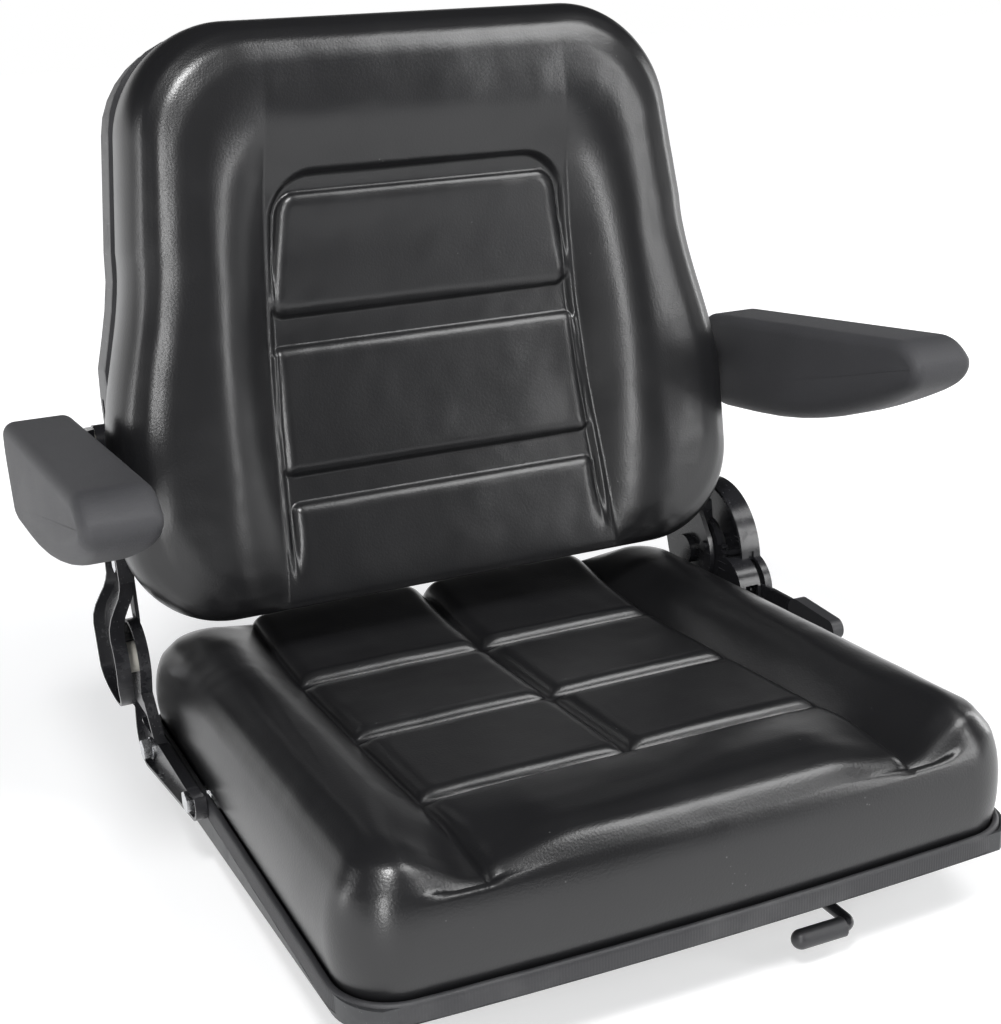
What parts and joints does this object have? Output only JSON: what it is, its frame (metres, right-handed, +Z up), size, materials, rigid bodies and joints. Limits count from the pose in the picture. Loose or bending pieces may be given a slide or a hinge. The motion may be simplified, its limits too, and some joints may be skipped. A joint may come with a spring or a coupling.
{
  "type": "forklift seat",
  "caption": "Vinyl covered operator seat on slide rails, with a reclining back, fold-up armrests and a document box behind the back.",
  "frame": {"origin": "middle of the four rail mounting holes, on the face that the rails stand on", "axes": "+Z up, -Y to the seat's front, +X to the right as seen from the front"},
  "size_m": [0.652, 0.5801, 0.5874],
  "materials": {
    "rail_steel": "black dip paint, satin",
    "cage_nylon": "natural nylon",
    "ball_steel": "polished steel balls",
    "pan_steel": "black powder coat, satin",
    "bright_zinc": "bright zinc plating",
    "black_rubber": "ribbed black rubber",
    "black_vinyl": "black vinyl with a fine grain, satin",
    "hinge_steel": "black paint, semi-gloss",
    "grip_plastic": "black moulded grip",
    "spring_steel": "oiled spring steel",
    "bush_nylon": "natural nylon",
    "shell_paint": "black powder coat, satin",
    "box_plastic": "black moulded plastic, fine matte texture",
    "armrest_foam": "grained black skin of polyurethane foam"
  },
  "bodies": {
    "rails": {"lower_rail_left": "rail_steel", "lower_rail_right": "rail_steel"},
    "ball_row_left": {"ball_cage_left": "cage_nylon", "slide_balls_left": "ball_steel"},
    "ball_row_right": {"ball_cage_right": "cage_nylon", "slide_balls_right": "ball_steel"},
    "seat": {"upper_rail_left": "rail_steel", "upper_rail_right": "rail_steel", "seat_pan": "pan_steel", "pan_bolts": "bright_zinc", "pan_nuts": "bright_zinc", "edge_trim": "black_rubber", "seat_cushion": "black_vinyl", "latch_brackets": "hinge_steel", "hinge_base_left": "hinge_steel", "recliner_base_right": "hinge_steel", "base_bolts": "bright_zinc", "base_nuts": "bright_zinc", "pawl_pin": "bright_zinc", "recline_spring": "spring_steel", "lever_spring": "spring_steel"},
    "latch": {"latch_rod": "hinge_steel", "latch_grip": "grip_plastic", "latch_tooth_plate": "hinge_steel", "latch_spring": "spring_steel"},
    "back": {"hinge_pin_left": "bright_zinc", "hinge_bush_left": "bush_nylon", "recliner_pin_right": "hinge_steel", "hinge_arm_left": "hinge_steel", "recliner_arm_right": "hinge_steel", "arm_bolts": "bright_zinc", "arm_nuts": "bright_zinc", "back_shell": "shell_paint", "back_trim": "black_rubber", "back_cushion": "black_vinyl", "document_box": "box_plastic", "lid_pin": "bright_zinc", "armrest_bolt_left": "hinge_steel", "armrest_bolt_right": "hinge_steel", "armrest_nuts": "bright_zinc", "armrest_bush_left": "bush_nylon", "armrest_bush_right": "bush_nylon"},
    "pawl": {"lock_pawl": "spring_steel"},
    "recline_lever": {"lever_shaft": "bright_zinc", "recline_lever": "hinge_steel", "recline_grip": "grip_plastic"},
    "document_lid": {"document_lid": "box_plastic"},
    "armrest_left": {"armrest_arm_left": "hinge_steel", "armrest_pad_left": "armrest_foam"},
    "armrest_right": {"armrest_arm_right": "hinge_steel", "armrest_pad_right": "armrest_foam"}
  },
  "joints": [
    {"name": "seat_slide", "type": "slide", "parent": "rails", "child": "seat", "axis": [0, 1, 0], "range_m": [-0.075, 0.075]},
    {"name": "ball_roll_left", "type": "slide", "parent": "rails", "child": "ball_row_left", "axis": [0, 1, 0], "range_m": [-0.0375, 0.0375]},
    {"name": "ball_roll_right", "type": "slide", "parent": "rails", "child": "ball_row_right", "axis": [0, 1, 0], "range_m": [-0.0375, 0.0375]},
    {"name": "slide_latch", "type": "hinge", "parent": "seat", "child": "latch", "pos_m": [0.104, 0, 0.02], "axis": [0, -1, 0], "range_deg": [0, 10], "stiffness_Nm_per_rad": 0.6, "springref_deg": -20.05},
    {"name": "back_recline", "type": "hinge", "parent": "seat", "child": "back", "pos_m": [0, 0.192, 0.122], "axis": [-1, 0, 0], "range_deg": [-12, 25]},
    {"name": "recline_lever_turn", "type": "hinge", "parent": "seat", "child": "recline_lever", "pos_m": [0.27, 0.135, 0.096], "axis": [-1, 0, 0], "range_deg": [0, 20], "stiffness_Nm_per_rad": 0.5, "springref_deg": -22.92},
    {"name": "pawl_turn", "type": "hinge", "parent": "seat", "child": "pawl", "pos_m": [0.2555, 0.163, 0.081], "axis": [1, 0, 0], "range_deg": [0, 5]},
    {"name": "lid_turn", "type": "hinge", "parent": "back", "child": "document_lid", "pos_m": [0, 0.29711, 0.32172], "axis": [-1, 0, 0], "range_deg": [0, 75]},
    {"name": "armrest_left_turn", "type": "hinge", "parent": "back", "child": "armrest_left", "pos_m": [-0.26, 0.23888, 0.28216], "axis": [-1, 0, 0], "range_deg": [0, 95]},
    {"name": "armrest_right_turn", "type": "hinge", "parent": "back", "child": "armrest_right", "pos_m": [0.26, 0.23888, 0.28216], "axis": [-1, 0, 0], "range_deg": [0, 95]}
  ],
  "couplings": [
    {"joint": "ball_roll_left", "follows": "seat_slide", "ratio": 0.5},
    {"joint": "ball_roll_right", "follows": "seat_slide", "ratio": 0.5},
    {"joint": "pawl_turn", "follows": "recline_lever_turn", "ratio": 0.25}
  ]
}
